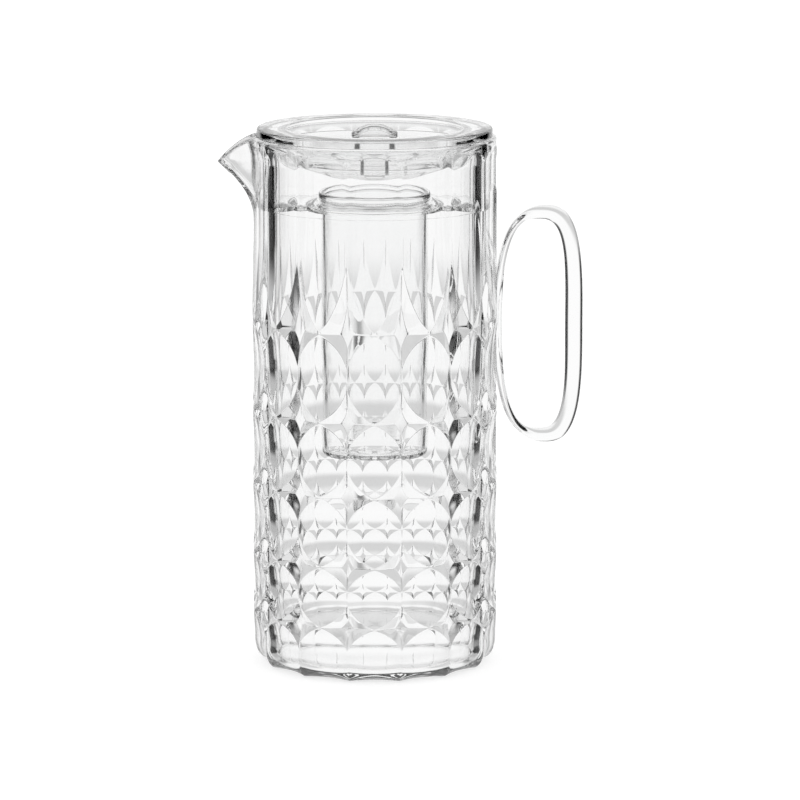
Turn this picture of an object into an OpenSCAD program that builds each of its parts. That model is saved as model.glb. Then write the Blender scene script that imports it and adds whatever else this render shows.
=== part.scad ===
// Clear infuser carafe: a jug with a cut-glass pattern, a bonded loop handle, a lid with a
// recessed knob, and an infuser tube that hangs from a collar in the mouth.
// Millimetres, Z up. The origin is the middle of the underside of the base.
// The spout points along -X and the handle along +X.

/* [Carafe body] */

// Height of the rim above the table
body_h = 241; // [220:1:290]
// Radius of the rim and of the ridges of the pattern
crest_r = 55.1; // [48:0.1:64]
// Thickness of the wall behind the flats of the pattern
wall_t = 5.8; // [4:0.1:8]
// Thickness of the floor
floor_t = 4.2; // [3:0.1:8]
// Radius of the fillet between the floor and the wall
floor_fillet = 4; // [2:0.5:8]
// Height of the rounding at the foot
foot_round_h = 10; // [6:0.5:12]
// How far the foot is drawn in
foot_round_in = 5.5; // [3:0.5:8]
// How much further the foot is drawn in between the ridges
foot_scallop = 3; // [0:0.5:4]
// Radius of the rounding on the outside of the rim
rim_round = 1.8; // [1:0.1:3]
// Width of the seat in the bore that carries the infuser
seat_w = 0.8; // [0.6:0.1:1.5]
// Depth of that seat below the rim
seat_drop = 32; // [28:0.5:38]

/* [Cut pattern] */

// Number of columns round the body
column_n = 14; // [12:1:18]
// How far neighbouring cells bite into the ridge between them
ridge_cut = 0.12; // [0.08:0.01:0.3]
// How much further out the ends of the cells stand than their middles
cell_rise = 2.9; // [2:0.1:3.2]
// Share of a cell's half-height over which it meets its neighbour in a ridge
ridge_share = 0.21; // [0.15:0.01:0.3]
// Depth of the star pits between the cells
pit_depth = 1.9; // [1:0.1:2.5]
// Share of a cell's half-height that the bevel round a pit takes up
pit_bevel = 0.45; // [0.3:0.01:0.6]
// Height of the lowest, open row
row_foot_h = 25; // [20:0.5:30]
// Height of the first row of cells above it
row_a_h = 27.6; // [22:0.1:32]
// Height of the second row of cells
row_b_h = 31.7; // [26:0.1:36]
// Height of the third row of cells
row_c_h = 33.8; // [28:0.1:38]
// Height of the fourth row of cells
row_d_h = 40.3; // [34:0.1:44]
// Half-height of the arch at the top of the lowest row
foot_arch_h = 13; // [9:0.5:15]
// Length of the run-out at the lower end of the flutes
flute_low_h = 42; // [25:0.5:45]
// Length of the run-out at the upper end of the flutes
flute_top_h = 8.2; // [5:0.1:12]
// Plain band between the flutes and the rim
rim_band = 3.2; // [2:0.1:6]

/* [Spout] */

// How far the spout reaches past the wall
spout_reach = 15.7; // [10:0.1:22]
// How far the tip of the spout lies below the rim
spout_drop = 10.8; // [6:0.1:14]
// Height of the spout on the wall
spout_h = 38; // [30:0.5:44]
// Height of the blunt end of the spout
spout_nose = 1.5; // [1:0.1:3]
// Angle to either side over which the spout blends into the wall
spout_spread = 13; // [10:0.5:18]
// Thickness of the lip at the tip
spout_lip = 1.6; // [1.2:0.1:3]

/* [Handle] */

// How far the handle reaches past the wall
handle_reach = 39.2; // [32:0.1:50]
// Height of the loop
handle_h = 108.9; // [90:0.1:130]
// Height of the middle of the loop above the table
handle_mid_z = 155; // [130:0.5:165]
// Thickness of the upright grip
grip_t = 8.2; // [6:0.1:10]
// Thickness of the loop at its top and bottom
arm_t = 6.6; // [5:0.1:9]
// Width of the loop across
handle_w = 8.5; // [8:0.5:13]
// How far the inner limb stands out from the wall
limb_proud = 2.6; // [2:0.1:4]
// How far the top and the bottom of the loop lean away from the wall
handle_lean = 3.8; // [0:0.1:5]
// Height of the webs where the loop leaves the wall
root_h = 6; // [3:0.5:8]

/* [Lid] */

// How far the flange stops short of the outside of the rim
flange_inset = 1.9; // [1:0.1:3]
// Thickness of the flange
flange_t = 3.6; // [2.5:0.1:5]
// Height of the plug below the flange
plug_h = 4.6; // [3:0.1:7]
// How far the side of the dish stands in from the mouth
dish_gap = 3.6; // [3:0.1:5]
// Depth of the dish below the top of the lid
dish_depth = 21; // [18:0.1:23]
// Thickness of the floor of the dish
dish_t = 2.4; // [2:0.1:3]
// Thickness of the side of the dish
dish_side = 5; // [4:0.1:6]
// Radius of the corner inside the dish
dish_corner = 16; // [12:0.5:17]
// Radius of the corner under the dish
under_corner = 13; // [10:0.5:14]
// Play between the plug and the mouth, on the radius
lid_play = 0.3; // [0.2:0.05:0.6]

/* [Knob] */

// How far the knob stands above the top of the lid
knob_proud = 1.5; // [0:0.1:4]
// Radius of the rim of the knob
knob_r = 10.4; // [8:0.1:13]
// Radius of the stem
stem_r = 5.7; // [4:0.1:7]
// Height of the stem above the floor of the dish
stem_h = 4.2; // [3:0.1:6]
// Radius of the spigot that fixes the knob in the lid
spigot_r = 2.5; // [2:0.1:3.5]
// Length of that spigot
spigot_h = 1.4; // [1:0.1:1.7]

/* [Infuser] */

// Radius of the tube at its top
tube_r = 24.2; // [20:0.1:27]
// Wall of the tube at its top
tube_wall = 2.2; // [1.8:0.1:3]
// How much the outside of the tube draws in towards its foot
tube_draft = 0.6; // [0:0.1:1]
// How much more the inside draws in
core_draft = 1; // [0:0.1:1.5]
// Length of the tube below the collar
tube_drop = 113; // [95:0.5:125]
// Thickness of the floor of the tube
tube_floor = 2.6; // [2:0.1:4]
// Radius of the rounding at the foot of the tube
tube_round = 3.6; // [2:0.1:5]
// How far the lip of the tube overhangs
lip_w = 2; // [1.6:0.1:2.4]
// Thickness of the lip
lip_t = 2.4; // [1.8:0.1:4]
// Radius of the strainer holes in the floor of the tube
hole_r = 2; // [1.5:0.1:2.5]
// Number of strainer holes in the ring
hole_n = 8; // [6:1:10]
// Play between the collar and the mouth, on the radius
collar_play = 0.3; // [0.2:0.05:0.4]
// Thickness of the flange of the collar
collar_t = 2; // [1.6:0.1:3]
// Height of the neck of the collar above its flange
neck_h = 2.2; // [2:0.1:5]
// Thickness of the neck
neck_t = 2.2; // [1.8:0.1:3]
// Radius of the domed disc of the collar
disc_r = 36; // [34:0.5:39]
// Angle that each of the two wings of the collar spans
wing_span = 55; // [40:1:80]

/* [Hidden] */

$fn = 96;

// Overlap of cutting shapes past the face that they cut
over = 1;
// Play of the fixed spigot joints, on the radius
spigot_play = 0.05;

half = 180 / column_n;
cell_depth = crest_r * (1 - cos(half)) + ridge_cut;
// The cells of neighbouring rows stop just short of each other
end_gap = 0.015;
outline_power = 1.25;
// Half of the flat strip along the bottom of the pits, as a share of a cell's half-height
pit_strip = 0.008;
// The flutes stop just short of the rim band
arch_gap = 0.06;
arch_rise = cell_depth * (1 + arch_gap);
bore_r = crest_r - cell_depth - wall_t;
mouth_r = bore_r + seat_w;
seat_z = body_h - seat_drop;

row_h = [row_a_h, row_b_h, row_c_h, row_d_h];
function row_z(i) = i == 0 ? row_foot_h : row_z(i - 1) + row_h[i - 1];
flute_z = row_z(len(row_h));
flute_top_z = body_h - rim_band - flute_top_h;
flute_run = min(flute_low_h, flute_top_z - flute_z - over);
flute_low_z = flute_z + flute_run;

// Share of a cell's half-height at which it meets the pits, at angle a from its middle
function cell_end(a) =
    (1 - end_gap) * sqrt(1 - (1 - pow(ridge_share, 2)) * pow(min(1, a / half), outline_power));
// Radius of a flat cell at angle a and at share s of its half-height
function cell_r(a, s) = (crest_r - cell_depth + cell_rise * s * s) / cos(a);
// The same two for the arches at the top of the flutes
function arch_end(a) = sqrt(max(0, cell_depth - crest_r * (1 - cos(a))) / arch_rise);
function arch_r(a, s) = (crest_r - cell_depth + arch_rise * s * s) / cos(a);
// Angle from the middle of the nearest column, the ridges lying on +X and -X
function column_angle(th) = abs((th + 360) % (2 * half) - half);
// Angle from direction d
function turn(th, d) = abs((th - d + 540) % 360 - 180);

function foot_in(a, z) =
    let (s = max(0, 1 - z / foot_round_h), f = a / half)
    (foot_round_in + foot_scallop * (1 - f * f)) * (1 - sqrt(1 - s * s));

function foot_levels(a) =
    [for (z = [0, 0.1, 0.32, 0.6] * foot_round_h) [z, cell_r(a, 0) - foot_in(a, z)]];

// A star pit at height z0, between cells of the given half-heights
function pit_levels(a, z0, below, above) =
    let (c = cell_end(a), flat = max(pit_strip, 1 - c - pit_bevel))
    let (r = cell_r(a, c) - pit_depth * min(1, (1 - c) / pit_bevel))
    [[z0 - below * flat, r], [z0 + above * flat, r]];

// One row of cells with its lower end at z0, ending with the pit above it
function cell_levels(a, z0, h, above) =
    let (m = z0 + h / 2)
    concat(
        [for (s = [-1, -0.5, 0, 0.5, 1] * cell_end(a)) [m + s * h / 2, cell_r(a, s)]],
        pit_levels(a, z0 + h, h / 2, above)
    );

function flute_levels(a) =
    let (n = 4)
    concat(
        [for (s = [-1, -0.5] * cell_end(a)) [flute_low_z + s * flute_run, cell_r(a, s)]],
        [for (i = [0:n]) [flute_low_z + (flute_top_z - flute_low_z) * i / n, cell_r(a, 0)]],
        [for (s = [0.5, 1] * arch_end(a)) [flute_top_z + s * flute_top_h, arch_r(a, s)]]
    );

function rim_levels() =
    [for (t = [90, 45, 0]) [body_h - rim_round * (1 - cos(t)), crest_r - rim_round * (1 - sin(t))]];

half_heights = concat([foot_arch_h], row_h / 2, [flute_run]);

function wall_levels(a) = concat(
    foot_levels(a),
    [for (s = [0, 0.5, 1] * cell_end(a)) [row_foot_h - foot_arch_h * (1 - s), cell_r(a, s)]],
    pit_levels(a, row_foot_h, half_heights[0], half_heights[1]),
    [for (i = [0:len(row_h) - 1], p = cell_levels(a, row_z(i), row_h[i], half_heights[i + 2])) p],
    flute_levels(a),
    rim_levels()
);

// The spout is drawn out of the wall below the rim, and its edge droops towards the tip
flank_power = 1.3;
droop_power = 1.6;
under_power = 2;
spout_z = body_h - spout_h;
spout_tip_z = body_h - spout_drop;
function bell(d, spread, e) = d >= spread ? 0 : pow((1 + cos(180 * d / spread)) / 2, e);
function share(z, low, high) = min(1, max(0, (z - low) / (high - low)));
function spout_top(d) = body_h - spout_drop * pow(bell(d, spout_spread, flank_power), droop_power);
function spout_out(d, z) =
    spout_reach * bell(d, spout_spread, flank_power)
    * pow(share(z, spout_z, spout_tip_z - spout_nose), under_power);
function spout_level(d, z) =
    z <= spout_z ? z : spout_z + (z - spout_z) * (spout_top(d) - spout_z) / spout_h;

// The pattern leaves a plain land for the handle
handle_top = handle_mid_z + handle_h / 2;
handle_foot = handle_mid_z - handle_h / 2;
land_side = 0.2;
land_end = root_h + 3;
land_angle = asin((handle_w / 2 + land_side) / crest_r);
function on_land(th, z) =
    turn(th, 0) < land_angle && z > handle_foot - land_end && z < handle_top + land_end;

function wall_point(th, p) =
    let (d = turn(th, 180), z = spout_level(d, p[0]))
    let (r = (on_land(th, z) ? crest_r : p[1]) + spout_out(d, z))
    [r * cos(th), r * sin(th), z];

// Angles of the grid, in shares of half a column: finer beside the spout and the ridges
spout_steps = [0, 0.15, 0.3, 0.45, 0.6, 0.8];
ridge_steps = [[0, 0.1, 0.25, 0.5], [0, 0.5, 0.75, 0.9]];
wall_angles = [
    for (k = [0:2 * column_n - 1])
        let (near_spout = turn((k + 0.5) * half, 180) < half)
        for (s = near_spout ? spout_steps : ridge_steps[k % 2])
            (k + s) * half
];

module wall_solid() {
    columns = [for (th = wall_angles) [for (p = wall_levels(column_angle(th))) wall_point(th, p)]];
    n = len(columns);
    m = len(columns[0]);
    sides = [
        for (i = [0:n - 1], j = [0:m - 2])
            let (a = i * m + j, b = (i + 1) % n * m + j)
            for (t = [[a, a + 1, b + 1], [a, b + 1, b]]) t
    ];
    foot = [for (i = [0:n - 1]) [n * m, i * m, (i + 1) % n * m]];
    rim = [for (i = [0:n - 1]) [n * m + 1, (i + 1) % n * m + m - 1, i * m + m - 1]];
    polyhedron(
        points = concat([for (c = columns, p = c) p], [[0, 0, 0], [0, 0, body_h]]),
        faces = concat(sides, foot, rim)
    );
}

module bore() {
    rotate_extrude() {
        translate([0, floor_t]) square([bore_r - floor_fillet, body_h]);
        translate([0, floor_t + floor_fillet]) square([bore_r, body_h]);
        translate([bore_r - floor_fillet, floor_t + floor_fillet]) circle(floor_fillet);
        translate([0, seat_z]) square([mouth_r, seat_drop + over]);
    }
}

// The channel of the spout, cut out from inside the mouth
channel_spread = 0.9 * spout_spread;
channel_side_power = 0.9;
channel_power = 1.2;
channel_z = spout_z + 3.5;
channel_back = 4;

module spout_channel() {
    turn_n = 12;
    level_n = 8;
    low_r = mouth_r - over;
    out = crest_r + spout_reach - rim_round - spout_lip - low_r;
    top_z = body_h + over;
    turns = [for (i = [0:turn_n]) (2 * i / turn_n - 1) * channel_spread];
    heights = [for (j = [0:level_n]) channel_z + (top_z - channel_z) * j / level_n];
    n = len(turns);
    m = len(heights);
    inner = mouth_r - channel_back;
    outer = [
        for (t = turns, z = heights)
            let (side = bell(abs(t), channel_spread, channel_side_power))
            let (r = low_r + out * side * pow(share(z, channel_z, spout_tip_z), channel_power))
            [r * cos(180 + t), r * sin(180 + t), z]
    ];
    back = [for (t = turns, z = heights) [inner * cos(180 + t), inner * sin(180 + t), z]];
    k = n * m;
    front_faces = [
        for (i = [0:n - 2], j = [0:m - 2])
            let (a = i * m + j, b = a + m)
            for (f = [
                [a, a + 1, b + 1], [a, b + 1, b],
                [k + a, k + b + 1, k + a + 1], [k + a, k + b, k + b + 1]
            ]) f
    ];
    end_faces = [
        for (i = [0:n - 2])
            let (a = i * m, b = a + m, c = a + m - 1, d = b + m - 1)
            for (f = [[a, b, k + b], [a, k + b, k + a], [c, k + d, d], [c, k + c, k + d]]) f
    ];
    side_faces = [
        for (j = [0:m - 2])
            let (a = j, b = (n - 1) * m + j)
            for (f = [
                [a, k + a + 1, a + 1], [a, k + a, k + a + 1],
                [b, b + 1, k + b + 1], [b, k + b + 1, k + b]
            ]) f
    ];
    polyhedron(points = concat(outer, back), faces = concat(front_faces, end_faces, side_faces));
}

module carafe_body() {
    color([0.93, 0.95, 0.96, 0.4])
        difference() {
            wall_solid();
            bore();
            spout_channel();
        }
}

// The handle is a loop of round rod, its inner limb bonded to the land on the wall.
// Its inside and outside are two closed curves, and the rod is swept between them.
limb_sink = 2;
inside_power = 2 / 3;
outside_power = 2 / 2.5;
root_reach = 7;
function power(v, e) = sign(v) * pow(abs(v), e);
// A closed curve from x0 to x1, h high, leaning outwards at its ends
function loop_curve(t, x0, x1, h, e, lean) =
    let (up = power(sin(t), e))
    [(x0 + x1 + (x1 - x0) * power(cos(t), e)) / 2 + lean * up * up, h / 2 * up];
function loop_inside(t) =
    let (x0 = crest_r + limb_proud, x1 = crest_r + handle_reach - grip_t)
    loop_curve(t, x0, x1, handle_h - 2 * arm_t, inside_power, handle_lean / 2);
function loop_outside(t) =
    let (p = loop_curve(t, crest_r - limb_sink, crest_r + handle_reach, handle_h, outside_power, handle_lean))
    let (near = exp(-pow((p[0] - crest_r) / root_reach, 2)), up = 2 * p[1] / handle_h)
    p + [0, root_h * near * up * abs(up)];
function rod_point(t, s) =
    let (a = loop_inside(t), b = loop_outside(t), q = (a + b + (b - a) * cos(s)) / 2)
    [q[0], handle_w / 2 * sin(s), handle_mid_z + q[1]];

module handle() {
    n = 64;
    m = 16;
    points = [for (i = [0:n - 1], j = [0:m - 1]) rod_point((i + 0.5) * 360 / n, (j + 0.5) * 360 / m)];
    faces = [
        for (i = [0:n - 1], j = [0:m - 1])
            let (i2 = (i + 1) % n, j2 = (j + 1) % m)
            for (f = [[i * m + j, i * m + j2, i2 * m + j2], [i * m + j, i2 * m + j2, i2 * m + j]]) f
    ];
    color([0.93, 0.95, 0.96, 0.4])
        difference() {
            polyhedron(points = points, faces = faces);
            translate([0, 0, handle_foot - over]) cylinder(r = crest_r, h = handle_h + 2 * over);
        }
}

// A bowl of radius r and depth h hanging from height z: a wide arc below and a corner at the side
module bowl_outline(r, h, z, corner) {
    wide = (pow(r - corner, 2) + h * h - corner * corner) / (2 * (h - corner));
    middle = z - h + wide;
    far = 2 * wide;
    intersection() {
        translate([0, z - far]) square(far);
        union() {
            intersection() {
                translate([0, middle]) circle(wide);
                polygon([[0, middle], [0, middle - far], [(r - corner) / (middle - z) * far, middle - far]]);
            }
            translate([r - corner, z]) circle(corner);
        }
    }
}

lid_top = body_h + flange_t;
flange_r = crest_r - flange_inset;
plug_r = mouth_r - lid_play;
dish_r = mouth_r - dish_gap - dish_side;
dish_floor = lid_top - dish_depth;
flange_edge = 0.4;

module lid() {
    edge = (flange_t - flange_edge) / 2;
    color([0.93, 0.95, 0.96, 0.4])
        difference() {
            rotate_extrude() {
                translate([0, body_h]) square([flange_r - edge, flange_t]);
                translate([flange_r - edge, body_h + edge]) square([edge, flange_edge]);
                translate([flange_r - edge, body_h + edge]) circle(edge);
                translate([flange_r - edge, lid_top - edge]) circle(edge);
                translate([0, body_h - plug_h]) square([plug_r, plug_h]);
                bowl_outline(dish_r + dish_side, dish_depth + dish_t - flange_t, body_h, under_corner);
            }
            rotate_extrude() {
                bowl_outline(dish_r, dish_depth, lid_top, dish_corner);
                translate([0, lid_top - over]) square([dish_r, 2 * over]);
                translate([0, dish_floor]) square([stem_r + spigot_play, stem_h]);
                translate([0, dish_floor - spigot_h]) square([spigot_r + spigot_play, spigot_h + over]);
            }
        }
}

knob_z = dish_floor;
knob_h = dish_depth + knob_proud;

module lid_knob() {
    dome_h = 4;
    rim_h = 1.9;
    groove = 0.8;
    dome_r = (knob_r * knob_r + dome_h * dome_h) / (2 * dome_h);
    grip_r = knob_r - groove;
    grip_z = knob_z + stem_h;
    rim_z = knob_z + knob_h - dome_h - rim_h;
    cove = grip_r - stem_r;
    color([0.93, 0.95, 0.96, 0.4])
        rotate_extrude() {
            translate([0, knob_z - spigot_h]) square([spigot_r, spigot_h + over]);
            difference() {
                translate([0, knob_z]) square([grip_r, rim_z - knob_z]);
                translate([grip_r, grip_z - cove]) circle(cove);
                translate([stem_r, knob_z - over]) square([cove + over, grip_z - cove - knob_z + over]);
            }
            translate([0, rim_z]) square([knob_r, rim_h]);
            intersection() {
                translate([0, rim_z + rim_h + dome_h - dome_r]) circle(dome_r);
                translate([0, rim_z + rim_h]) square([knob_r, dome_h]);
            }
        }
}

neck_top = seat_z + collar_t + neck_h;
neck_bore = tube_r + spigot_play;
collar_r = mouth_r - collar_play;
// The dome of the disc starts this far inside its edge
dome_inset = 1;

// A domed disc round the tube, with two wings that rest on the seat and gaps for pouring between
module infuser_collar() {
    collar_top = seat_z + collar_t;
    gap_span = 180 - wing_span;
    dome_r = disc_r - dome_inset;
    color([0.93, 0.95, 0.96, 0.4])
        difference() {
            rotate_extrude() {
                translate([neck_bore, seat_z]) square([collar_r - neck_bore, collar_t]);
                polygon([[neck_bore, seat_z], [dome_r, seat_z], [dome_r, collar_top],
                         [neck_bore + neck_t, neck_top], [neck_bore, neck_top]]);
            }
            for (middle = [90, 270])
                rotate([0, 0, middle - gap_span / 2])
                    rotate_extrude(angle = gap_span)
                        translate([disc_r, seat_z - over]) square([mouth_r - disc_r, collar_t + 2 * over]);
        }
}

core_round_less = 1;
hole_ring_share = 0.62;

module infuser_tube() {
    foot_z = seat_z - tube_drop;
    foot_r = tube_r - tube_draft;
    core_r = tube_r - tube_wall;
    core_foot_r = foot_r - tube_wall - core_draft;
    core_round = tube_round - core_round_less;
    floor_z = foot_z + tube_floor;
    tube_top = neck_top + lip_t;
    ring_r = core_foot_r * hole_ring_share;
    color([0.93, 0.95, 0.96, 0.4])
        difference() {
            rotate_extrude() {
                polygon([[0, foot_z], [foot_r - tube_round, foot_z], [foot_r, foot_z + tube_round],
                         [tube_r, seat_z], [tube_r, tube_top], [0, tube_top]]);
                translate([foot_r - tube_round, foot_z + tube_round]) circle(tube_round);
                translate([0, neck_top]) square([tube_r + lip_w, lip_t]);
            }
            rotate_extrude() {
                polygon([[0, floor_z], [core_foot_r - core_round, floor_z],
                         [core_foot_r, floor_z + core_round], [core_r, seat_z],
                         [core_r, tube_top + over], [0, tube_top + over]]);
                translate([core_foot_r - core_round, floor_z + core_round]) circle(core_round);
            }
            translate([0, 0, foot_z - over]) cylinder(r = hole_r, h = tube_floor + 2 * over);
            for (i = [0:hole_n - 1])
                rotate([0, 0, i * 360 / hole_n])
                    translate([ring_r, 0, foot_z - over]) cylinder(r = hole_r, h = tube_floor + 2 * over);
        }
}

carafe_body();
handle();
lid();
lid_knob();
infuser_collar();
infuser_tube();
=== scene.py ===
import math

import bmesh
import bpy
import numpy as np
from mathutils import Matrix, Vector


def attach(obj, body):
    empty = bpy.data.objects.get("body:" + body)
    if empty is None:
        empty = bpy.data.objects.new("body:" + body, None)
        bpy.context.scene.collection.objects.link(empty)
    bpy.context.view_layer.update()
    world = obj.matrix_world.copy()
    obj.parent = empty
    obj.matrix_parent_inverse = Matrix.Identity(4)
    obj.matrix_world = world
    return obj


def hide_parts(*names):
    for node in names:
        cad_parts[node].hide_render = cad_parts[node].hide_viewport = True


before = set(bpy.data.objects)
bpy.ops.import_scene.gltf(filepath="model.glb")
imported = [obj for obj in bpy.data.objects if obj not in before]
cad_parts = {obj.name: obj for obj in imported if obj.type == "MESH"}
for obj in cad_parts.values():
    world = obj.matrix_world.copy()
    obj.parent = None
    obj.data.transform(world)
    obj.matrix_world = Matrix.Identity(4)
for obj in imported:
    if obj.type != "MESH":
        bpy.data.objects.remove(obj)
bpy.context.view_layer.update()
scene = bpy.context.scene

# Body, in millimetres as in the CAD model
BODY_H = 241.0
CREST_R = 55.1
WALL_T = 5.8
FLOOR_T = 4.2
FLOOR_FILLET = 4.0
FOOT_ROUND_H = 10.0
FOOT_ROUND_IN = 5.5
FOOT_SCALLOP = 3.0
RIM_ROUND = 1.8
# The mouth's edge has its full rounding where the rim is at least FULL_RIM wide
MOUTH_ROUND = 0.5
FULL_RIM = 2.0
SEAT_W = 0.8
SEAT_DROP = 32.0

# Cut pattern
COLUMNS = 14
RIDGE_CUT = 0.12
RIDGE_FILLET = 7.5
RIDGE_SHARE = 0.21
CELL_RISE = 2.9
END_GAP = 0.015
OUTLINE_POWER = 1.25
PIT_DEPTH = 1.9
PIT_BEVEL = 0.45
PIT_STRIP = 0.008
ROW_FOOT_H = 25.0
ROW_H = [27.6, 31.7, 33.8, 40.3]
FOOT_ARCH_H = 13.0
FLUTE_RUN = 42.0
FLUTE_TOP_H = 8.2
ARCH_GAP = 0.06
ARCH_STEP = 0.4
RIM_BAND = 3.2

# What follows from those
HALF = 180.0 / COLUMNS
CELL_DEPTH = CREST_R * (1 - math.cos(math.radians(HALF))) + RIDGE_CUT
ARCH_RISE = CELL_DEPTH * (1 + ARCH_GAP)
FLUTE_LOW_Z = ROW_FOOT_H + sum(ROW_H) + FLUTE_RUN
FLUTE_TOP_Z = BODY_H - RIM_BAND - FLUTE_TOP_H
BORE_R = CREST_R - CELL_DEPTH - WALL_T
MOUTH_R = BORE_R + SEAT_W
SEAT_Z = BODY_H - SEAT_DROP

# Spout and its channel
SPOUT_REACH = 15.7
SPOUT_DROP = 10.8
SPOUT_H = 38.0
SPOUT_NOSE = 1.5
SPOUT_SPREAD = 13.0
SPOUT_LIP = 1.6
FLANK_POWER = 1.3
DROOP_POWER = 1.6
UNDER_POWER = 2
SPOUT_Z = BODY_H - SPOUT_H
SPOUT_TIP_Z = BODY_H - SPOUT_DROP
CHANNEL_Z = SPOUT_Z + 3.5
CHANNEL_SPREAD = 0.9 * SPOUT_SPREAD
CHANNEL_SIDE_POWER = 0.9
CHANNEL_RISE_POWER = 1.2
CHANNEL_SINK = 1.0
CHANNEL_REACH = CREST_R + SPOUT_REACH - RIM_ROUND - SPOUT_LIP - MOUTH_R + CHANNEL_SINK

# Handle and the plain land behind it
HANDLE_REACH = 39.2
HANDLE_H = 108.9
HANDLE_MID_Z = 155.0
GRIP_T = 8.2
ARM_T = 6.6
HANDLE_W = 8.5
LIMB_PROUD = 2.6
LIMB_SINK = 2.0
HANDLE_LEAN = 3.8
INNER_POWER = 2 / 3
OUTER_POWER = 2 / 2.5
ROOT_H = 6.0
ROOT_REACH = 7.0
LAND_SIDE = 0.2
LAND_END = ROOT_H + 3
LAND_FADE = 1.5
# The rod lies just inside the facets of its solid
ROD_SHARE = 0.98

# Lid and knob
FLANGE_R = CREST_R - 1.9
FLANGE_T = 3.6
FLANGE_TOP_EDGE = 1.0
FLANGE_LOW_EDGE = 0.3
LID_PLAY = 0.3
PLUG_R = MOUTH_R - LID_PLAY
PLUG_Z = BODY_H - 4.6
PLUG_EDGE = 0.3
PLUG_STEP = 0.3
DISH_R = 40.0
DISH_DEPTH = 21.0
DISH_T = 2.4
DISH_SIDE = 5.0
DISH_CORNER = 16.0
DISH_EDGE = 1.0
UNDER_CORNER = 13.0
LID_TOP = BODY_H + FLANGE_T
DISH_FLOOR = LID_TOP - DISH_DEPTH
KNOB_TOP = LID_TOP + 1.5
KNOB_R = 10.4
KNOB_DOME_H = 4.0
KNOB_RIM_H = 1.9
KNOB_GROOVE = 0.8
KNOB_UNDERCUT = 0.6
KNOB_DOME_EDGE = 0.9
KNOB_RIM_EDGE = 0.6
KNOB_GRIP_EDGE = 0.5
STEM_R = 5.7
STEM_H = 4.2
# The dish stops this far from the stem's seat, and the seat's wall this far below the dish
STEM_GAP = 0.1
STEM_STEP = 0.01

# Infuser
TUBE_R = 24.2
TUBE_WALL = 2.2
TUBE_DRAFT = 0.6
CORE_DRAFT = 1.0
TUBE_FOOT_Z = SEAT_Z - 113.0
TUBE_FLOOR = 2.6
TUBE_ROUND = 3.6
TUBE_FOOT_R = TUBE_R - TUBE_DRAFT
CORE_R = TUBE_R - TUBE_WALL
CORE_FOOT_R = TUBE_FOOT_R - TUBE_WALL - CORE_DRAFT
CORE_ROUND = TUBE_ROUND - 1
LIP_W = 2.0
LIP_T = 2.4
HOLES = 8
HOLE_R = 2.0
HOLE_RING_R = 0.62 * CORE_FOOT_R
COLLAR_PLAY = 0.3
COLLAR_R = MOUTH_R - COLLAR_PLAY
COLLAR_T = 2.0
COLLAR_TOP = SEAT_Z + COLLAR_T
NECK_T = 2.2
NECK_TOP = COLLAR_TOP + 2.2
DISC_R = 36.0
DOME_R = DISC_R - 1.0
DOME_BLEND = 8.0
WING_SPAN = 55.0
# Heights over the collar's base at which its outline begins and ends
SEAM_START = 2.0
SEAM_END = 2.1

# Air left between touching pieces, and play of the fixed joints on the radius
SKIN = 0.03
JOINT_PLAY = 0.05
# How far a cutter reaches past what it cuts
OVER = 1.0
# Roundings of small edges, and the most of a side that one rounding takes
FINE_EDGE = 0.2
CRISP_EDGE = 0.3
SMALL_EDGE = 0.5
SOFT_EDGE = 0.8
ROUND_EDGE = 1.0
MOST_OF_SIDE = 0.49

# Angles in the body's mesh, over half a column of the pattern, crowding towards its ridge
PER_HALF = 12
RIDGE_CROWD = 1.3
# Rings of points in the body's mesh
FOOT_RINGS = 14
FLUTE_RINGS = 18
RIM_RINGS = 10
MOUTH_ROUND_RINGS = 4
MOUTH_RINGS = 24
SEAT_RINGS = 2
BORE_RINGS = 7
FILLET_RINGS = 10
FLOOR_SHARES = (0.75, 0.5, 0.25)
UNDERSIDE_SHARES = (0.25, 0.5, 0.75, 0.92)
# Shares of a height at which the pattern has its rings, close together beside its edges
FOOT_STEPS = [*np.linspace(0, 0.9, 8), 0.96, 1]
BEVEL_STEPS = [0.06, 0.35, 0.65, 0.94, 1]
STRIP_STEP = 0.9
CELL_STEPS = [-1, -0.965, *np.linspace(-0.93, 0.93, 17), 0.965, 1]
FLUTE_STEPS = [1, 0.988, *np.linspace(0.96, 0, 13)]
ARCH_STEPS = [*np.linspace(0, 0.9, 9)[1:], 0.95, 1]
# Points closer than this, in metres, become one, and edges sharper than these angles stay sharp
WELD = 1e-6
SHARP = 32
HANDLE_SHARP = 50
BODY_SHARP = 60

# Clear acrylic, and the part of the noise over which its tint fades to none
ACRYLIC_IOR = 1.49
ACRYLIC_TINT = (0.996, 0.998, 0.998)
TINT_START = 0.35
TINT_END = 0.65
NOISE_DETAIL = 3.0

# Stage and camera, in metres, but the lens and the sensor in millimetres
FLOOR_Z = -0.0005
FLOOR_REACH = 4.0
FLOOR_GREY = 0.8
SHADOW_GREY = 0.4
FLOOR_GLOW = 0.74
CAMERA_TARGET = Vector((0.0114, 0.0, 0.1197))
CAMERA_DISTANCE = 2.4
CAMERA_RISE = math.radians(10.0)
CAMERA_LENS = 237.6
CAMERA_SENSOR = 36.0

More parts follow.
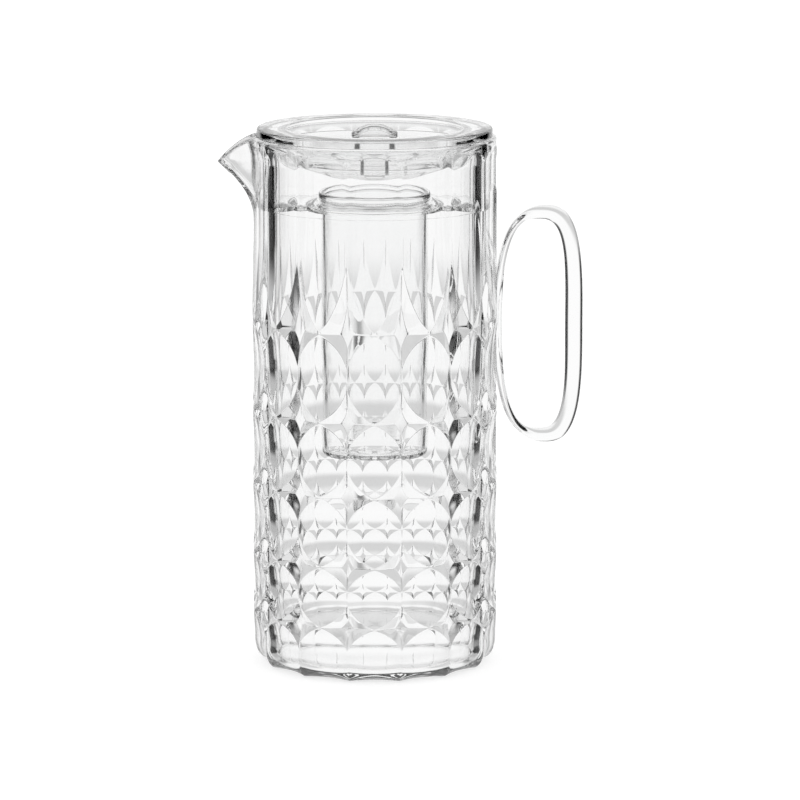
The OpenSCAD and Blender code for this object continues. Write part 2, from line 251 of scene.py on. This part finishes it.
# Tones of the light tent, and where they change along the x, y or z of a direction
WINDOW_SIDE = (0.44, 0.6)
STRIP_SIDE = (0.82, 0.9)
CORNER_TONE = 0.8
CORNER_BACK = (0.1, 0.3)
LEVEL_MID = -0.13
LEVEL_EDGE = (0.03, 0.07)
FRONT = (0.1, -0.2)
FRONT_TONE = 0.7
TOP = (0.46, 0.64)
TABLE = (-0.185, -0.29)
TABLE_DEPTH = (-0.4, -0.6)
TABLE_FAR_TONE = 0.66
TABLE_NEAR_TONE = 0.98
TABLE_EVEN_SHARE = 0.7


# Meshes
def new_object(name, verts, faces):
    mesh = bpy.data.meshes.new(name)
    mesh.from_pydata([tuple(v) for v in np.asarray(verts) / 1000.0], [], faces)
    mesh.update()
    mesh.validate()
    mesh.polygons.foreach_set("use_smooth", [True] * len(mesh.polygons))
    obj = bpy.data.objects.new(name, mesh)
    scene.collection.objects.link(obj)
    return obj


def grid_faces(n, m, round_n, round_m):
    """Four-sided faces over n strips of m points, closed to a ring either way if asked."""
    faces = []
    for i in range(n if round_n else n - 1):
        k = (i + 1) % n
        for j in range(m if round_m else m - 1):
            q = (j + 1) % m
            faces.append((i * m + j, k * m + j, k * m + q, i * m + q))
    return faces


def clean_up(obj, angle=SHARP):
    """Welds the mesh, turns its faces outwards and marks its sharp edges."""
    bm = bmesh.new()
    bm.from_mesh(obj.data)
    bmesh.ops.remove_doubles(bm, verts=bm.verts, dist=WELD)
    bmesh.ops.dissolve_degenerate(bm, edges=bm.edges, dist=WELD)
    bmesh.ops.recalc_face_normals(bm, faces=bm.faces)
    bm.to_mesh(obj.data)
    bm.free()
    obj.data.polygons.foreach_set("use_smooth", [True] * len(obj.data.polygons))
    obj.data.set_sharp_from_angle(angle=math.radians(angle))


def cut(obj, cutters):
    """Takes the cutters out of the object for good."""
    for cutter in cutters:
        mod = obj.modifiers.new("cut", "BOOLEAN")
        mod.operation = "DIFFERENCE"
        mod.solver = "EXACT"
        mod.object = cutter
    deps = bpy.context.evaluated_depsgraph_get()
    mesh = bpy.data.meshes.new_from_object(obj.evaluated_get(deps))
    obj.modifiers.clear()
    obj.data = mesh
    for cutter in cutters:
        bpy.data.objects.remove(cutter)
    clean_up(obj)


def arc(cx, cz, r, a0, a1, n):
    """Points on an arc, angles in degrees from the radial direction."""
    turns = np.radians(np.linspace(a0, a1, n))
    return [(cx + r * math.cos(q), cz + r * math.sin(q)) for q in turns]


def eased(corners, n=5):
    """Outline through corners given as radius, height and rounding, with n steps in a rounding."""
    out = []
    for i, (x, z, r) in enumerate(corners):
        if not r:
            out.append((x, z))
            continue
        p = Vector((x, z))
        u = Vector(corners[i - 1][:2]) - p
        v = Vector(corners[i + 1][:2]) - p
        angle = u.angle(v)
        back = min(r / math.tan(angle / 2), MOST_OF_SIDE * u.length, MOST_OF_SIDE * v.length)
        r = back * math.tan(angle / 2)
        u.normalize()
        v.normalize()
        mid = p + (u + v).normalized() * (r / math.sin(angle / 2))
        start = p + u * back - mid
        stop = p + v * back - mid
        span = start.angle_signed(stop)
        for k in range(n + 1):
            w = start.copy()
            w.rotate(Matrix.Rotation(-span * k / n, 2))
            out.append(tuple(mid + w))
    return out


def lathe(name, outline, n=160):
    """Turns an outline that begins and ends on the axis, or a closed one that stays off it."""
    on_axis = 1e-6
    same = 1e-5
    points = [p for i, p in enumerate(outline) if i == 0 or math.dist(p, outline[i - 1]) > same]
    # Half a step on, so that no cutter's corner falls on a line of the mesh
    turns = [2 * math.pi * (i + 0.5) / n for i in range(n)]
    verts, rings = [], []
    for r, z in points:
        if r < on_axis:
            rings.append([len(verts)])
            verts.append((0, 0, z))
        else:
            rings.append(list(range(len(verts), len(verts) + n)))
            verts += [(r * math.cos(q), r * math.sin(q), z) for q in turns]
    pairs = list(zip(rings, rings[1:]))
    if outline[0][0] > on_axis:
        pairs.append((rings[-1], rings[0]))
    faces = []
    for p, q in pairs:
        for i in range(n):
            k = (i + 1) % n
            if len(p) == 1:
                faces.append((p[0], q[k], q[i]))
            elif len(q) == 1:
                faces.append((p[i], p[k], q[0]))
            else:
                faces.append((p[i], p[k], q[k], q[i]))
    obj = new_object(name, verts, faces)
    clean_up(obj)
    return obj


# Cut pattern of the body: a is the angle from the middle of a column, s a share of a half-height
def cell_end(a):
    """Share of a cell's half-height at which it meets the star pits."""
    shrink = (1 - RIDGE_SHARE**2) * np.minimum(1, a / HALF) ** OUTLINE_POWER
    return (1 - END_GAP) * np.sqrt(1 - shrink)


def arch_end(a):
    """The same at the top of the flutes, where they run out on the rim band."""
    left = CELL_DEPTH - CREST_R * (1 - np.cos(np.radians(a)))
    return np.sqrt(np.maximum(0, left) / ARCH_RISE)


def cell_r(a, s):
    return (CREST_R - CELL_DEPTH + CELL_RISE * s * s) / np.cos(np.radians(a))


def flute_r(a, s, rise):
    """A flat panel whose ridges are rounded."""
    flat = CREST_R - CELL_DEPTH + rise * s * s
    half = math.radians(HALF)
    centre = (flat - RIDGE_FILLET) / math.cos(half)
    edge = np.degrees(np.arctan(centre * math.sin(half) / flat))
    f = np.radians(HALF - a)
    ridge = centre * np.cos(f) + np.sqrt(np.maximum(RIDGE_FILLET**2 - (centre * np.sin(f)) ** 2, 0))
    return np.where(a > edge, ridge, flat / np.cos(np.radians(a)))


def foot_in(a, z):
    """How far the foot is drawn in at height z."""
    s = np.maximum(0, 1 - z / FOOT_ROUND_H)
    f = a / HALF
    return (FOOT_ROUND_IN + FOOT_SCALLOP * (1 - f * f)) * (1 - np.sqrt(1 - s * s))


# Levels of the body's outside, each a height and a radius
def foot_levels(a):
    heights = FOOT_ROUND_H * (1 - np.cos(np.linspace(0, np.pi / 2, FOOT_RINGS + 1)[:-1]))
    levels = [(z, cell_r(a, 0) - foot_in(a, z)) for z in heights]
    shares = [s * cell_end(a) for s in FOOT_STEPS]
    return levels + [(ROW_FOOT_H - FOOT_ARCH_H * (1 - s), cell_r(a, s)) for s in shares]


def pit_levels(a, z0, below, above):
    """A row of star pits at height z0, between cells of the given half-heights."""
    c = cell_end(a)
    depth = PIT_DEPTH * np.minimum(1, (1 - c) / PIT_BEVEL)
    flat = np.maximum(PIT_STRIP, 1 - c - PIT_BEVEL)
    profile = [((1 - c) * (1 - f) + flat * f, cell_r(a, c) - depth * f) for f in BEVEL_STEPS]
    profile.append((flat * STRIP_STEP, cell_r(a, c) - depth))
    lower = [(z0 - below * s, r) for s, r in profile]
    upper = [(z0 + above * s, r) for s, r in profile]
    return lower + upper[::-1]


def cell_levels(a, z0, half_h):
    """A row of cells that begins at height z0."""
    shares = [s * cell_end(a) for s in CELL_STEPS]
    return [(z0 + half_h * (1 + s), cell_r(a, s)) for s in shares]


def flute_levels(a):
    low = [s * cell_end(a) for s in FLUTE_STEPS]
    levels = [(FLUTE_LOW_Z - s * FLUTE_RUN, flute_r(a, s, CELL_RISE)) for s in low]
    heights = np.linspace(FLUTE_LOW_Z, FLUTE_TOP_Z, FLUTE_RINGS + 1)[1:]
    levels += [(z, flute_r(a, 0, 0)) for z in heights]
    high = [s * arch_end(a) for s in ARCH_STEPS]
    return levels + [(FLUTE_TOP_Z + s * FLUTE_TOP_H, flute_r(a, s, ARCH_RISE)) for s in high]


def rim_levels(a):
    levels = [(FLUTE_TOP_Z + arch_end(a) * FLUTE_TOP_H + ARCH_STEP, CREST_R)]
    for r, z in arc(CREST_R - RIM_ROUND, BODY_H - RIM_ROUND, RIM_ROUND, 0, 90, RIM_RINGS):
        levels.append((z, r))
    return levels


def wall_levels(a):
    """All levels of the outside, from the foot to the rim."""
    levels = foot_levels(a)
    z0 = ROW_FOOT_H
    below = FOOT_ARCH_H
    for above in [h / 2 for h in ROW_H]:
        levels += pit_levels(a, z0, below, above) + cell_levels(a, z0, above)
        z0 += 2 * above
        below = above
    levels += pit_levels(a, z0, below, FLUTE_RUN) + flute_levels(a) + rim_levels(a)
    return [(z + 0 * a, r + 0 * a) for z, r in levels]


# Body: th is the angle round the axis, from the handle
def turn(th, d):
    """Angle from direction d."""
    return np.abs((th - d + 540) % 360 - 180)


def smooth_step(x):
    x = np.clip(x, 0, 1)
    return x * x * (3 - 2 * x)


def bell(d, spread, e):
    """1 in the middle, falling softly to 0 at the spread; a higher e makes it narrower."""
    return np.where(d >= spread, 0, ((1 + np.cos(np.pi * np.minimum(d / spread, 1))) / 2) ** e)


def column_angles():
    """Angles of the mesh, closer together beside the ridges at both ends of each column."""
    t = np.arange(PER_HALF) / PER_HALF
    shares = np.concatenate([t**RIDGE_CROWD, 2 - (1 - t) ** RIDGE_CROWD])
    return np.concatenate([(2 * k + shares) * HALF for k in range(COLUMNS)])


def outside_rings(th):
    """The patterned wall, with a plain land behind the handle and the spout drawn out of it."""
    flank = bell(turn(th, 180), SPOUT_SPREAD, FLANK_POWER)
    top = BODY_H - SPOUT_DROP * flank**DROOP_POWER
    side = np.abs(np.sin(np.radians(th))) * CREST_R
    beside = 1 - smooth_step((side - HANDLE_W / 2 - LAND_SIDE) / LAND_FADE)
    beside = np.where(turn(th, 0) < 90, beside, 0)
    rings = []
    for z, r in wall_levels(np.abs(th % (2 * HALF) - HALF)):
        z = np.where(z > SPOUT_Z, SPOUT_Z + (z - SPOUT_Z) * (top - SPOUT_Z) / SPOUT_H, z)
        along = smooth_step((HANDLE_H / 2 + LAND_END - np.abs(z - HANDLE_MID_Z)) / LAND_FADE)
        r = r + (CREST_R - r) * beside * along
        share = np.clip((z - SPOUT_Z) / (SPOUT_TIP_Z - SPOUT_NOSE - SPOUT_Z), 0, 1)
        rings.append((z, r + SPOUT_REACH * flank * share**UNDER_POWER))
    return rings


def mouth_at(th, z):
    """Radius of the mouth, which opens into the channel of the spout."""
    side = bell(turn(th, 180), CHANNEL_SPREAD, CHANNEL_SIDE_POWER)
    share = np.clip((z - CHANNEL_Z) / (SPOUT_TIP_Z - CHANNEL_Z), 0, 1) ** CHANNEL_RISE_POWER
    return np.maximum(MOUTH_R, MOUTH_R - CHANNEL_SINK + CHANNEL_REACH * side * share)


def inside_rings(th, z_top, r_top):
    """Mouth, seat, bore, fillet and floor, down from the rim's top."""
    r_in = mouth_at(th, BODY_H)
    z_in = BODY_H + (z_top - BODY_H) * r_in / r_top
    room = np.minimum(1, (r_top - r_in) / FULL_RIM)
    rings = []
    for q in np.radians(np.linspace(0, 90, MOUTH_ROUND_RINGS + 1)[:-1]):
        r = r_in + MOUTH_ROUND * (1 - math.sin(q)) * room
        rings.append((z_in - MOUTH_ROUND * (1 - math.cos(q)), r))
    for f in np.linspace(1, 0, MOUTH_RINGS):
        z = SEAT_Z + (z_in - MOUTH_ROUND - SEAT_Z) * f
        rings.append((z, mouth_at(th, z)))
    low_z = FLOOR_T + FLOOR_FILLET
    low_r = BORE_R - FLOOR_FILLET
    plain = [(r, SEAT_Z) for r in np.linspace(MOUTH_R, BORE_R, SEAT_RINGS + 1)[1:]]
    plain += [(BORE_R, z) for z in np.linspace(SEAT_Z, low_z, BORE_RINGS + 1)[1:]]
    plain += arc(low_r, low_z, FLOOR_FILLET, 0, -90, FILLET_RINGS + 1)[1:]
    plain += [(low_r * f, FLOOR_T) for f in FLOOR_SHARES]
    return rings + [(z + 0 * th, r + 0 * th) for r, z in plain]


def carafe_mesh():
    th = column_angles()
    outside = outside_rings(th)
    underside = [(0 * th, outside[0][1] * f) for f in UNDERSIDE_SHARES]
    rings = underside + outside + inside_rings(th, *outside[-1])
    cos, sin = np.cos(np.radians(th)), np.sin(np.radians(th))
    grid = np.stack([np.stack([r * cos, r * sin, z], -1) for z, r in rings], 1)
    n, m = len(th), len(rings)
    verts = np.vstack([grid.reshape(-1, 3), (0, 0, 0), (0, 0, FLOOR_T)])
    faces = grid_faces(n, m, True, False)
    for i in range(n):
        k = (i + 1) % n
        faces.append((n * m, k * m, i * m))
        faces.append((n * m + 1, i * m + m - 1, k * m + m - 1))
    obj = new_object("carafe_clear_body", verts, faces)
    obj.data.set_sharp_from_angle(angle=math.radians(BODY_SHARP))
    return obj


# Handle
def power(v, e):
    return np.sign(v) * np.abs(v) ** e


def loop_curve(t, x0, x1, h, e, lean):
    """A closed curve from x0 to x1, h high, leaning outwards at its ends."""
    up = power(np.sin(t), e)
    return (x0 + x1 + (x1 - x0) * power(np.cos(t), e)) / 2 + lean * up * up, h / 2 * up


def handle_mesh():
    """A round rod between two closed curves, bonded to the wall along its inner limb."""
    n, m = 240, 48
    t = np.radians((np.arange(n) + 0.5) * 360 / n)
    out_x = CREST_R + HANDLE_REACH
    hole_h = HANDLE_H - 2 * ARM_T
    ax, az = loop_curve(t, CREST_R + LIMB_PROUD, out_x - GRIP_T, hole_h, INNER_POWER, HANDLE_LEAN / 2)
    bx, bz = loop_curve(t, CREST_R - LIMB_SINK, out_x, HANDLE_H, OUTER_POWER, HANDLE_LEAN)
    up = 2 * bz / HANDLE_H
    bz = bz + ROOT_H * np.exp(-(((bx - CREST_R) / ROOT_REACH) ** 2)) * up * np.abs(up)
    s = np.radians((np.arange(m) + 0.5) * 360 / m)
    across = ROD_SHARE * np.cos(s)[None, :]
    x = ((ax + bx)[:, None] + (bx - ax)[:, None] * across) / 2
    z = HANDLE_MID_Z + ((az + bz)[:, None] + (bz - az)[:, None] * across) / 2
    y = np.broadcast_to(ROD_SHARE * HANDLE_W / 2 * np.sin(s)[None, :], x.shape)
    x = np.maximum(x, np.sqrt((CREST_R + SKIN) ** 2 - y * y))
    verts = np.stack([x, y, z], -1).reshape(-1, 3)
    obj = new_object("handle_clear_loop", verts, grid_faces(n, m, True, True))
    clean_up(obj, HANDLE_SHARP)
    return obj


# Lid and knob
def bowl(r, h, z, corner, n1=28, n2=16):
    """Outline of a bowl from its lowest point on the axis up to its edge."""
    wide = ((r - corner) ** 2 + h * h - corner * corner) / (2 * (h - corner))
    mid = z - h + wide
    lean = math.degrees(math.atan2(mid - z, r - corner))
    return arc(0, mid, wide, -90, -lean, n1) + arc(r - corner, z, corner, -lean, 0, n2)[1:]


def lid_outline():
    seat = STEM_R + JOINT_PLAY
    dish = [p for p in bowl(DISH_R, DISH_DEPTH, LID_TOP, DISH_CORNER) if p[0] > seat + STEM_GAP]
    dish = [(0, DISH_FLOOR), (seat, DISH_FLOOR), (seat, dish[0][1] - STEM_STEP)] + dish
    under = bowl(DISH_R + DISH_SIDE, DISH_DEPTH + DISH_T - FLANGE_T, BODY_H, UNDER_CORNER)
    under = [p for p in under if p[1] < PLUG_Z - PLUG_STEP]
    edge = eased(
        [
            (*dish[-2], 0),
            (*dish[-1], DISH_EDGE),
            (FLANGE_R, LID_TOP, FLANGE_TOP_EDGE),
            (FLANGE_R, BODY_H + SKIN, FLANGE_LOW_EDGE),
            (PLUG_R, BODY_H + SKIN, FINE_EDGE),
            (PLUG_R, PLUG_Z, PLUG_EDGE),
            (under[-1][0] + PLUG_STEP, PLUG_Z, 0),
            (*under[-1], 0),
        ]
    )
    return dish[:-1] + edge[1:] + under[::-1][1:]


def knob_outline():
    floor = DISH_FLOOR + SKIN
    dome_r = (KNOB_R**2 + KNOB_DOME_H**2) / (2 * KNOB_DOME_H)
    dome_end = math.degrees(math.asin((dome_r - KNOB_DOME_H) / dome_r))
    dome = arc(0, KNOB_TOP - dome_r, dome_r, 90, dome_end, 20)
    grip_r = KNOB_R - KNOB_GROOVE
    grip_z = floor + STEM_H
    rim_z = KNOB_TOP - KNOB_DOME_H - KNOB_RIM_H
    rim = eased(
        [
            (*dome[-2], 0),
            (KNOB_R, rim_z + KNOB_RIM_H, KNOB_DOME_EDGE),
            (KNOB_R, rim_z, KNOB_RIM_EDGE),
            (grip_r, rim_z - KNOB_UNDERCUT, KNOB_GRIP_EDGE),
            (grip_r, grip_z, 0),
        ]
    )
    cove = grip_r - STEM_R
    stem = arc(grip_r, grip_z - cove, cove, 90, 180, 10)
    return dome[:-1] + rim[1:] + stem[1:] + [(STEM_R, floor), (0, floor)]


# Infuser
def tube_outline():
    under_lip = NECK_TOP + SKIN
    lip_r = TUBE_R + LIP_W
    top = NECK_TOP + LIP_T
    floor = TUBE_FOOT_Z + TUBE_FLOOR
    corners = [
        (0, TUBE_FOOT_Z, 0),
        (TUBE_FOOT_R, TUBE_FOOT_Z, TUBE_ROUND),
        (TUBE_R, SEAT_Z, 0),
        (TUBE_R, under_lip, 0),
        (lip_r, under_lip, SMALL_EDGE),
        (lip_r, top, ROUND_EDGE),
        (CORE_R, top, SOFT_EDGE),
        (CORE_R, SEAT_Z, 0),
        (CORE_FOOT_R, floor, CORE_ROUND),
        (0, floor, 0),
    ]
    return eased(corners, 10)


def rod_cutter(name, x, y, r, high, low, n=24):
    turns = [2 * math.pi * k / n for k in range(n)]
    verts = [(x + r * math.cos(q), y + r * math.sin(q), z) for z in (high, low) for q in turns]
    faces = grid_faces(2, n, False, True)
    faces += [tuple(range(n)), tuple(range(n, 2 * n))[::-1]]
    obj = new_object(name, verts, faces)
    clean_up(obj)
    return obj


def tube_mesh():
    """The tube, with strainer holes in a ring and in the middle of its floor."""
    obj = lathe("infuser_clear_tube", tube_outline())
    turns = [2 * math.pi * i / HOLES for i in range(HOLES)]
    places = [(HOLE_RING_R * math.cos(q), HOLE_RING_R * math.sin(q)) for q in turns] + [(0, 0)]
    high = TUBE_FOOT_Z + TUBE_FLOOR + OVER
    low = TUBE_FOOT_Z - OVER
    cut(obj, [rod_cutter(f"hole{i}", x, y, HOLE_R, high, low) for i, (x, y) in enumerate(places)])
    return obj


def sector_cutter(name, mid, span, r0, r1, low, high, n=61):
    """Part of a square ring, span degrees wide about the direction mid."""
    square = ((r0, low), (r1, low), (r1, high), (r0, high))
    turns = np.radians(np.linspace(mid - span / 2, mid + span / 2, n))
    verts = [(r * math.cos(q), r * math.sin(q), z) for q in turns for r, z in square]
    last = 4 * (n - 1)
    faces = grid_faces(n, 4, False, True)
    faces += [(0, 1, 2, 3), (last + 3, last + 2, last + 1, last)]
    obj = new_object(name, verts, faces)
    clean_up(obj)
    return obj


def collar_mesh():
    """The domed disc with a wing towards the spout and one towards the handle."""
    bore = TUBE_R + JOINT_PLAY
    base = SEAT_Z + SKIN
    corners = [
        (bore, base + SEAM_START, 0),
        (bore, base, FINE_EDGE),
        (COLLAR_R, base, CRISP_EDGE),
        (COLLAR_R, COLLAR_TOP, SOFT_EDGE),
        (DOME_R, COLLAR_TOP, DOME_BLEND),
        (bore + NECK_T, NECK_TOP, ROUND_EDGE),
        (bore, NECK_TOP, FINE_EDGE),
        (bore, base + SEAM_END, 0),
    ]
    obj = lathe("infuser_clear_collar", eased(corners, 6))
    gap = 180 - WING_SPAN
    reach = (DISC_R, COLLAR_R + OVER, base - OVER, NECK_TOP + OVER)
    cut(obj, [sector_cutter(f"gap{mid}", mid, gap, *reach) for mid in (90, 270)])
    return obj


# Nodes of materials and light
def add_node(tree, kind, inputs, **settings):
    """Adds a node; an input is a value or another node's output."""
    node = tree.nodes.new("ShaderNode" + kind)
    for name, v in settings.items():
        setattr(node, name, v)
    for name, v in inputs.items():
        if isinstance(v, bpy.types.NodeSocket):
            tree.links.new(v, node.inputs[name])
        else:
            node.inputs[name].default_value = v
    return node


def work(tree, operation, *sources):
    return add_node(tree, "Math", dict(enumerate(sources)), operation=operation).outputs[0]


def blend(tree, factor, a, b):
    return add_node(tree, "Mix", {"Factor": factor, "A": a, "B": b}).outputs["Result"]


def fade(tree, source, span, low, high):
    """Goes softly from low to high as the source goes over the span."""
    inputs = {"Value": source, "From Min": span[0], "From Max": span[1], "To Min": low, "To Max": high}
    return add_node(tree, "MapRange", inputs, interpolation_type="SMOOTHSTEP").outputs["Result"]


def seen_in_pieces(tree, path):
    """1 for light that comes off or through a clear piece, and 0 for other light."""
    return work(tree, "MAXIMUM", path.outputs["Is Glossy Ray"], path.outputs["Is Transmission Ray"])


def new_material(name):
    mat = bpy.data.materials.new(name)
    mat.use_nodes = True
    mat.node_tree.nodes.clear()
    return mat, mat.node_tree


def clear_material(name, rough, scale):
    """Clear moulded acrylic, with a faint change of tint and polish over the piece."""
    mat, tree = new_material(name)
    coord = add_node(tree, "TexCoord", {})
    places = {"Vector": coord.outputs["Object"], "Scale": scale, "Detail": NOISE_DETAIL}
    noise = add_node(tree, "TexNoise", places).outputs["Fac"]
    ramp = add_node(tree, "ValToRGB", {"Fac": noise})
    tinted, plain = ramp.color_ramp.elements
    tinted.position = TINT_START
    tinted.color = (*ACRYLIC_TINT, 1)
    plain.position = TINT_END
    plain.color = (1, 1, 1, 1)
    polish = add_node(tree, "MapRange", {"Value": noise, "To Min": 0.0, "To Max": rough})
    looks = {
        "Base Color": ramp.outputs["Color"],
        "Roughness": polish.outputs["Result"],
        "Transmission Weight": 1.0,
        "IOR": ACRYLIC_IOR,
    }
    shader = add_node(tree, "BsdfPrincipled", looks)
    add_node(tree, "OutputMaterial", {"Surface": shader.outputs["BSDF"]})
    return mat


def floor_material():
    """White to the camera with the shadow kept; the pieces show the surround through it."""
    mat, tree = new_material("stage_floor")
    path = add_node(tree, "LightPath", {})
    pale = add_node(tree, "BsdfDiffuse", {"Color": (FLOOR_GREY,) * 3 + (1,)})
    clear = add_node(tree, "BsdfTransparent", {})
    parts = {0: seen_in_pieces(tree, path), 1: pale.outputs["BSDF"], 2: clear.outputs["BSDF"]}
    lit = add_node(tree, "MixShader", parts)
    shaded = add_node(tree, "BsdfDiffuse", {"Color": (SHADOW_GREY,) * 3 + (1,)})
    glow = add_node(tree, "Emission", {"Strength": FLOOR_GLOW})
    seen = add_node(tree, "AddShader", {0: shaded.outputs["BSDF"], 1: glow.outputs["Emission"]})
    parts = {0: path.outputs["Is Camera Ray"], 1: lit.outputs["Shader"], 2: seen.outputs["Shader"]}
    surface = add_node(tree, "MixShader", parts)
    add_node(tree, "OutputMaterial", {"Surface": surface.outputs["Shader"]})
    return mat


# Pieces
body_mat = clear_material("clear_body", rough=0.01, scale=40)
handle_mat = clear_material("clear_handle", rough=0.015, scale=60)
lid_mat = clear_material("clear_lid", rough=0.015, scale=60)
infuser_mat = clear_material("clear_infuser", rough=0.015, scale=50)

pieces = [
    (carafe_mesh(), "carafe", "carafe_body", "body_clear", body_mat),
    (handle_mesh(), "carafe", "handle", "handle_clear", handle_mat),
    (lathe("lid_clear_shell", lid_outline()), "lid", "lid", "lid_clear", lid_mat),
    (lathe("lid_clear_knob", knob_outline(), 96), "lid", "lid_knob", "lid_clear", lid_mat),
    (collar_mesh(), "infuser", "infuser_collar", "infuser_clear", infuser_mat),
    (tube_mesh(), "infuser", "infuser_tube", "infuser_clear", infuser_mat),
]
for obj, body, node, slot, mat in pieces:
    obj.data.materials.clear()
    obj.data.materials.append(mat)
    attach(obj, body)
    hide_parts(node)


# Stage
def add_floor():
    sides = ((-1, -1), (1, -1), (1, 1), (-1, 1))
    mesh = bpy.data.meshes.new("stage_floor")
    corners = [(FLOOR_REACH * x, FLOOR_REACH * y, FLOOR_Z) for x, y in sides]
    mesh.from_pydata(corners, [], [(0, 1, 2, 3)])
    mesh.materials.append(floor_material())
    obj = bpy.data.objects.new("stage_floor", mesh)
    scene.collection.objects.link(obj)


def add_light():
    """Even white light, in which the clear pieces show a light tent.

    It has a window of light behind the carafe, dark strips to either side of it that end in paler
    corners, a light grey front, a dark top and a pale table.
    """
    world = bpy.data.worlds.new("studio")
    scene.world = world
    world.use_nodes = True
    tree = world.node_tree
    coord = add_node(tree, "TexCoord", {})
    split = add_node(tree, "SeparateXYZ", {"Vector": coord.outputs["Generated"]})
    x, y, z = (split.outputs[name] for name in "XYZ")
    aside = work(tree, "ABSOLUTE", x)
    # Behind the carafe and just below the horizon, the dark strips run on into the corners
    slope = work(tree, "ABSOLUTE", work(tree, "SUBTRACT", z, LEVEL_MID))
    off_level = fade(tree, slope, LEVEL_EDGE, 0, 1)
    ended = work(tree, "MAXIMUM", fade(tree, y, CORNER_BACK, 1, 0), off_level)
    corner = work(tree, "MULTIPLY", fade(tree, aside, STRIP_SIDE, 0, CORNER_TONE), ended)
    behind = work(tree, "MAXIMUM", fade(tree, aside, WINDOW_SIDE, 1, 0), corner)
    around = blend(tree, fade(tree, y, FRONT, 0, 1), behind, FRONT_TONE)
    above = work(tree, "MULTIPLY", around, fade(tree, z, TOP, 1, 0))
    # The table takes on a little of the tone around it
    even = work(tree, "MULTIPLY_ADD", around, 1 - TABLE_EVEN_SHARE, TABLE_EVEN_SHARE)
    below = work(tree, "MULTIPLY", fade(tree, z, TABLE_DEPTH, TABLE_FAR_TONE, TABLE_NEAR_TONE), even)
    tent = blend(tree, fade(tree, z, TABLE, 0, 1), above, below)
    path = add_node(tree, "LightPath", {})
    back = tree.nodes["Background"]
    back.inputs["Color"].default_value = (1, 1, 1, 1)
    strength = blend(tree, seen_in_pieces(tree, path), 1.0, tent)
    tree.links.new(strength, back.inputs["Strength"])


def add_camera():
    camera = bpy.data.cameras.new("camera")
    camera.sensor_width = CAMERA_SENSOR
    camera.lens = CAMERA_LENS
    obj = bpy.data.objects.new("camera", camera)
    scene.collection.objects.link(obj)
    towards = Vector((0, -math.cos(CAMERA_RISE), math.sin(CAMERA_RISE)))
    obj.location = CAMERA_TARGET + CAMERA_DISTANCE * towards
    obj.rotation_euler = (CAMERA_TARGET - obj.location).to_track_quat("-Z", "Y").to_euler()
    scene.camera = obj


add_floor()
add_light()
add_camera()
scene.view_settings.view_transform = "Standard"
scene.cycles.max_bounces = 32
scene.cycles.transmission_bounces = 32
scene.cycles.glossy_bounces = 12

bpy.context.view_layer.update()
